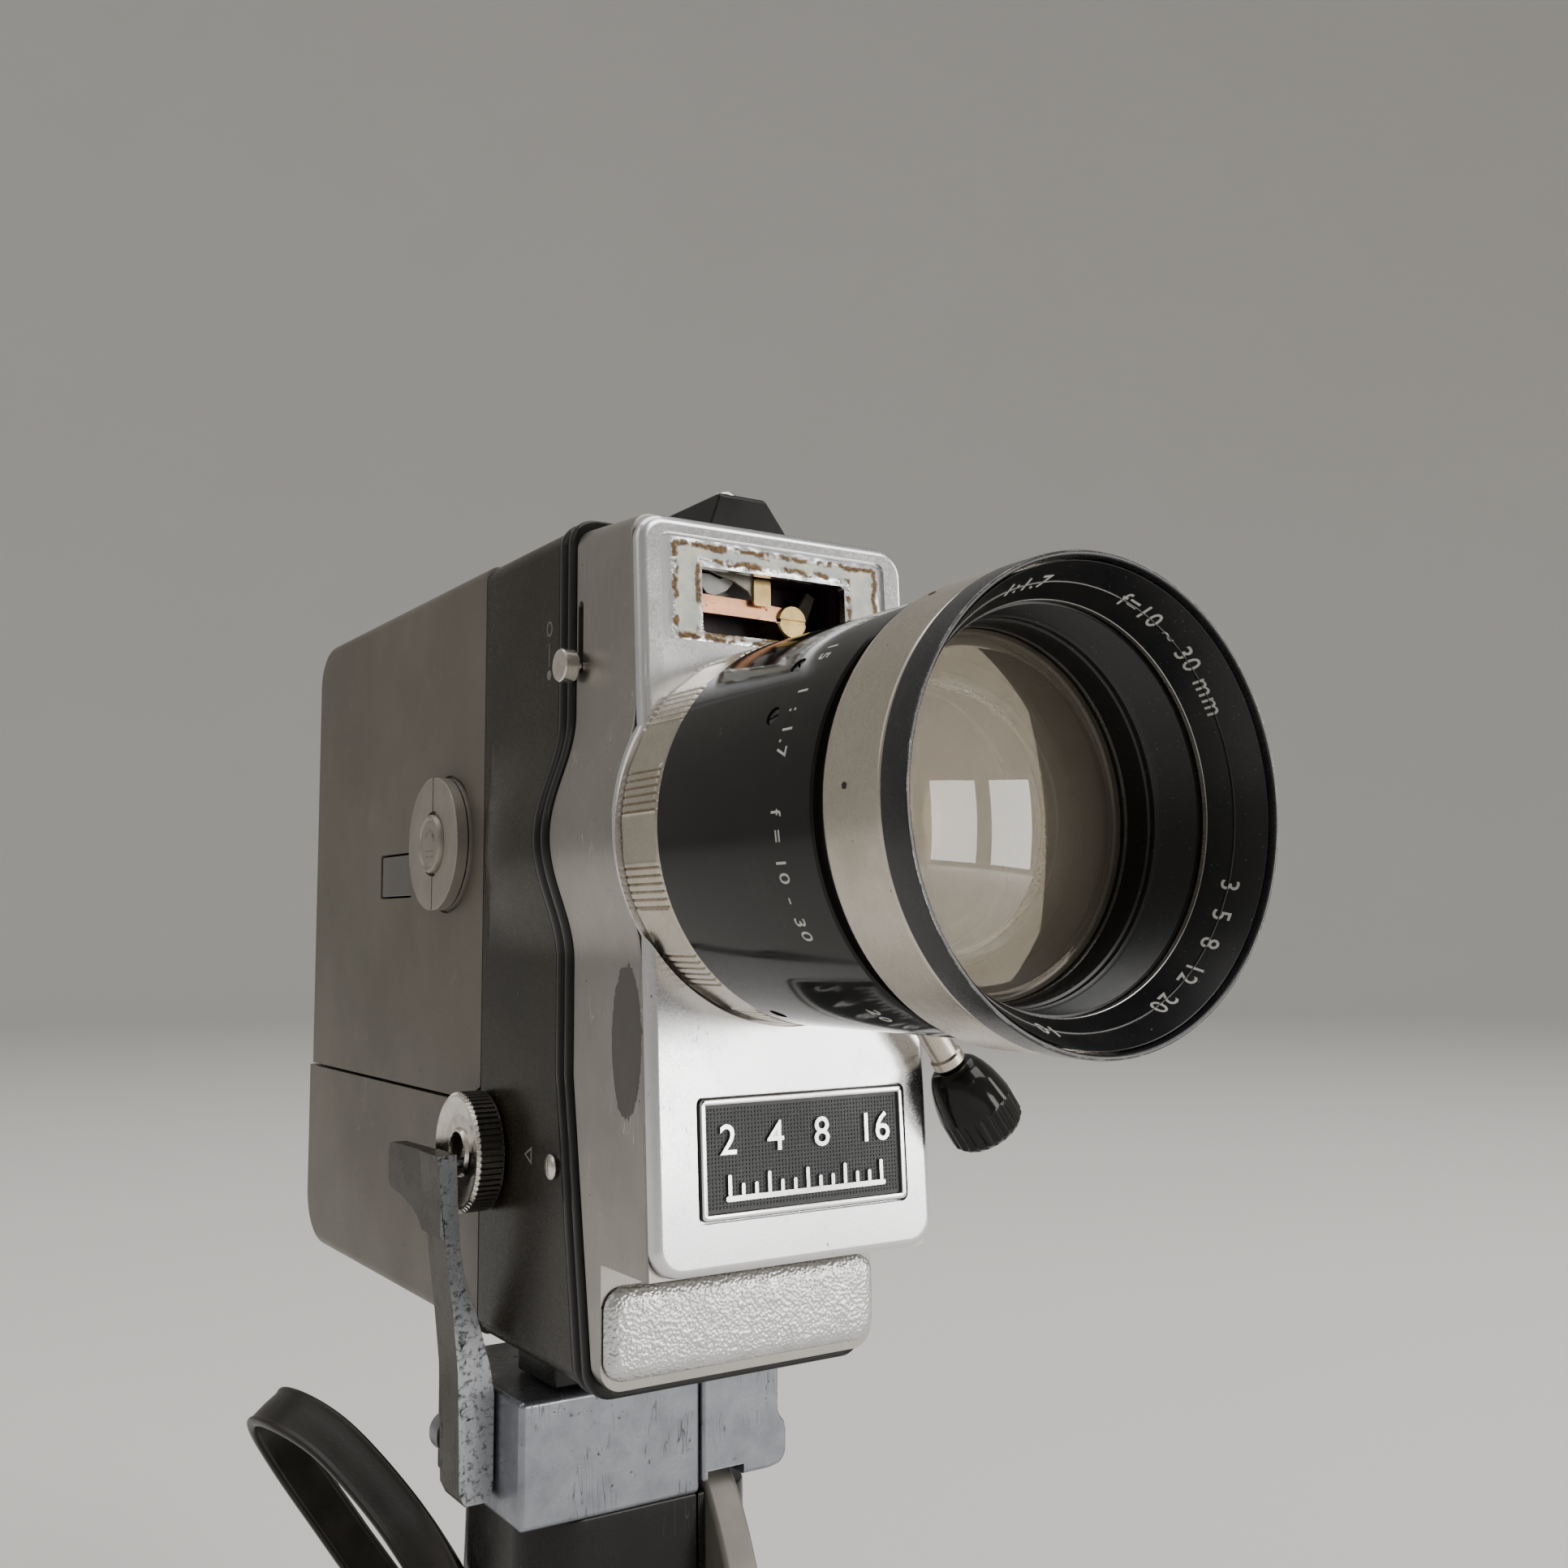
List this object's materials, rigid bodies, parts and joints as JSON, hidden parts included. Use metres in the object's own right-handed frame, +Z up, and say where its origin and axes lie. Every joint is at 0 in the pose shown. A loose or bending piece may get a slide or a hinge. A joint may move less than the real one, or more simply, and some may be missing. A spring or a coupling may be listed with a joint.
{
  "type": "cine camera",
  "caption": "Hand-held cine camera with a large zoom lens, hinged film door, side dials and a pistol grip with trigger, release arm and wrist strap.",
  "frame": {"origin": "centre of the grip's flat base", "axes": "+Z up, the lens points along -Y, the film door is on the -X side"},
  "size_m": [0.0827, 0.2404, 0.2613],
  "materials": {
    "satin_aluminium": "satin, worn",
    "satin_chrome": "satin chrome",
    "hammered_chrome": "hammered, worn",
    "badge_black": "black with a bright raised frame",
    "gasket_black": "gloss black",
    "band_brown": "dark brown satin paint",
    "warm_grey_paint": "warm grey satin paint",
    "smoked_window": "smoked",
    "lock_grey": "matt, worn",
    "pin_steel": "plain",
    "cell_jacket": "foil jacket",
    "hump_black": "black satin",
    "screw_chrome": "bright",
    "tube_black": "black",
    "eyecup_rubber": "matt",
    "lens_glass": "amber coated",
    "dial_dark": "knurled, darkened",
    "button_red": "plain",
    "chamber_black": "matt black",
    "brass": "plain",
    "lever_grey": "dull",
    "dark_tray": "dark maroon",
    "barrel_black": "gloss black",
    "lens_silver": "satin",
    "cell_black": "matt black",
    "worn_blue_grey": "scuffed",
    "grip_black": "satin black",
    "trigger_grey": "warm grey",
    "arm_lacquer": "black lacquer, worn",
    "strap_black": "smooth black"
  },
  "bodies": {
    "root": {"arm_pivot_pin": "pin_steel", "band_screw": "screw_chrome", "base_cap": "grip_black", "battery_pack": "cell_jacket", "body_gasket": "gasket_black", "clamp_block": "worn_blue_grey", "clamp_cheek": "worn_blue_grey", "clamp_neck": "grip_black", "door_hinge_pin": "pin_steel", "eyecup": "eyecup_rubber", "eyepiece_lens": "lens_glass", "eyepiece_tube": "tube_black", "film_gate": "pin_steel", "finder_hump": "hump_black", "finder_prism": "lens_glass", "front_housing": "satin_aluminium", "front_plate": "satin_chrome", "grip_left": "grip_black", "grip_right": "grip_black", "hump_screw": "screw_chrome", "lens_barrel": "barrel_black", "lens_mount": "lens_silver", "lower_trim": "hammered_chrome", "mechanism_plate": "chamber_black", "middle_band": "band_brown", "motor": "pin_steel", "nameplate": "badge_black", "rear_shell": "warm_grey_paint", "relay_cell": "cell_black", "trigger_pin": "pin_steel", "tripod_screw": "pin_steel", "window_tray": "dark_tray", "wrist_strap": "strap_black"},
    "film_door": {"film_door": "warm_grey_paint", "door_window": "smoked_window"},
    "door_lock": {"lock_disc": "lock_grey", "door_latch": "pin_steel"},
    "lock_tab": {"lock_tab": "lock_grey"},
    "battery_cover": {"battery_cover": "warm_grey_paint"},
    "focus_group": {"focus_ring": "lens_silver", "front_rim": "barrel_black", "name_ring": "cell_black", "front_cell": "cell_black", "front_lens": "lens_glass"},
    "zoom_group": {"zoom_ring": "lens_silver", "zoom_stem": "lens_silver", "zoom_knob": "barrel_black"},
    "variator": {"variator_cell": "cell_black"},
    "run_dial": {"run_dial": "dial_dark"},
    "release_button": {"release_button": "screw_chrome"},
    "mode_slider": {"mode_slider": "screw_chrome"},
    "speed_dial": {"speed_dial": "dial_dark"},
    "test_button": {"test_button": "button_red"},
    "trigger": {"trigger": "trigger_grey"},
    "release_arm": {"release_arm": "arm_lacquer"},
    "meter_lever": {"meter_lever": "lever_grey"},
    "drive_gear": {"drive_gear": "brass"},
    "motor_pinion": {"motor_pinion": "brass"},
    "shutter": {"shutter_disc": "chamber_black"},
    "take_up": {"take_up_spindle": "pin_steel"}
  },
  "joints": [
    {"name": "film_door_swing", "type": "hinge", "parent": "root", "child": "film_door", "pos_m": [-0.018, 0.1025, 0.2], "axis": [0, 0, -1], "range_deg": [0, 110]},
    {"name": "door_lock_turn", "type": "hinge", "parent": "film_door", "child": "door_lock", "pos_m": [-0.024, 0.017, 0.2015], "axis": [1, 0, 0], "range_deg": [0, 90]},
    {"name": "lock_tab_fold", "type": "hinge", "parent": "door_lock", "child": "lock_tab", "pos_m": [-0.0279, 0.02235, 0.2015], "axis": [0, 0, -1], "range_deg": [0, 85]},
    {"name": "battery_cover_slide", "type": "slide", "parent": "root", "child": "battery_cover", "axis": [0, 1, 0], "range_m": [0, 0.095]},
    {"name": "focus_turn", "type": "hinge", "parent": "root", "child": "focus_group", "pos_m": [0, -0.116, 0.2], "axis": [0, -1, 0], "range_deg": [0, 170]},
    {"name": "zoom_turn", "type": "hinge", "parent": "root", "child": "zoom_group", "pos_m": [0, -0.064, 0.2], "axis": [0, -1, 0], "range_deg": [0, 105]},
    {"name": "variator_slide", "type": "slide", "parent": "root", "child": "variator", "axis": [0, 1, 0], "range_m": [0, 0.0115]},
    {"name": "run_dial_turn", "type": "hinge", "parent": "root", "child": "run_dial", "pos_m": [-0.024, -0.003, 0.1491], "axis": [1, 0, 0], "range_deg": [-60, 60]},
    {"name": "release_button_press", "type": "slide", "parent": "root", "child": "release_button", "axis": [1, 0, 0], "range_m": [0, 0.0017]},
    {"name": "mode_slider_slide", "type": "slide", "parent": "root", "child": "mode_slider", "axis": [0, 0, 1], "range_m": [0, 0.0088]},
    {"name": "speed_dial_turn", "type": "hinge", "parent": "root", "child": "speed_dial", "pos_m": [0.024, -0.003, 0.1491], "axis": [1, 0, 0], "range_deg": [-60, 60]},
    {"name": "test_button_press", "type": "slide", "parent": "root", "child": "test_button", "axis": [-1, 0, 0], "range_m": [0, 0.0015], "stiffness_N_per_m": 300, "springref_m": -0.001},
    {"name": "trigger_pull", "type": "hinge", "parent": "root", "child": "trigger", "pos_m": [0.0137, -0.01, 0.087], "axis": [1, 0, 0], "range_deg": [0, 9], "stiffness_Nm_per_rad": 0.4, "springref_deg": -17.19},
    {"name": "release_arm_press", "type": "hinge", "parent": "root", "child": "release_arm", "pos_m": [-0.027, -0.005, 0.102], "axis": [0, 1, 0], "range_deg": [0, 2.1]},
    {"name": "meter_lever_swing", "type": "hinge", "parent": "root", "child": "meter_lever", "pos_m": [0.009, -0.0483, 0.234], "axis": [0, 1, 0], "range_deg": [-10, 5], "stiffness_Nm_per_rad": 0.002},
    {"name": "drive_gear_spin", "type": "hinge", "parent": "root", "child": "drive_gear", "pos_m": [0, 0.04185, 0.176], "axis": [1, 0, 0], "continuous": true},
    {"name": "motor_pinion_spin", "type": "hinge", "parent": "root", "child": "motor_pinion", "pos_m": [0, 0.024, 0.176], "axis": [1, 0, 0], "continuous": true},
    {"name": "shutter_spin", "type": "hinge", "parent": "root", "child": "shutter", "pos_m": [0.002, -0.002, 0.1875], "axis": [0, 1, 0], "continuous": true},
    {"name": "take_up_spin", "type": "hinge", "parent": "root", "child": "take_up", "pos_m": [0, 0.054, 0.204], "axis": [1, 0, 0], "continuous": true}
  ],
  "couplings": [
    {"joint": "variator_slide", "follows": "zoom_turn", "m_per_rad": 0.006},
    {"joint": "release_arm_press", "follows": "trigger_pull", "ratio": 0.22},
    {"joint": "release_button_press", "follows": "trigger_pull", "m_per_rad": 0.0104},
    {"joint": "motor_pinion_spin", "follows": "drive_gear_spin", "ratio": -4},
    {"joint": "shutter_spin", "follows": "drive_gear_spin", "ratio": 3},
    {"joint": "take_up_spin", "follows": "drive_gear_spin", "ratio": -0.25}
  ]
}
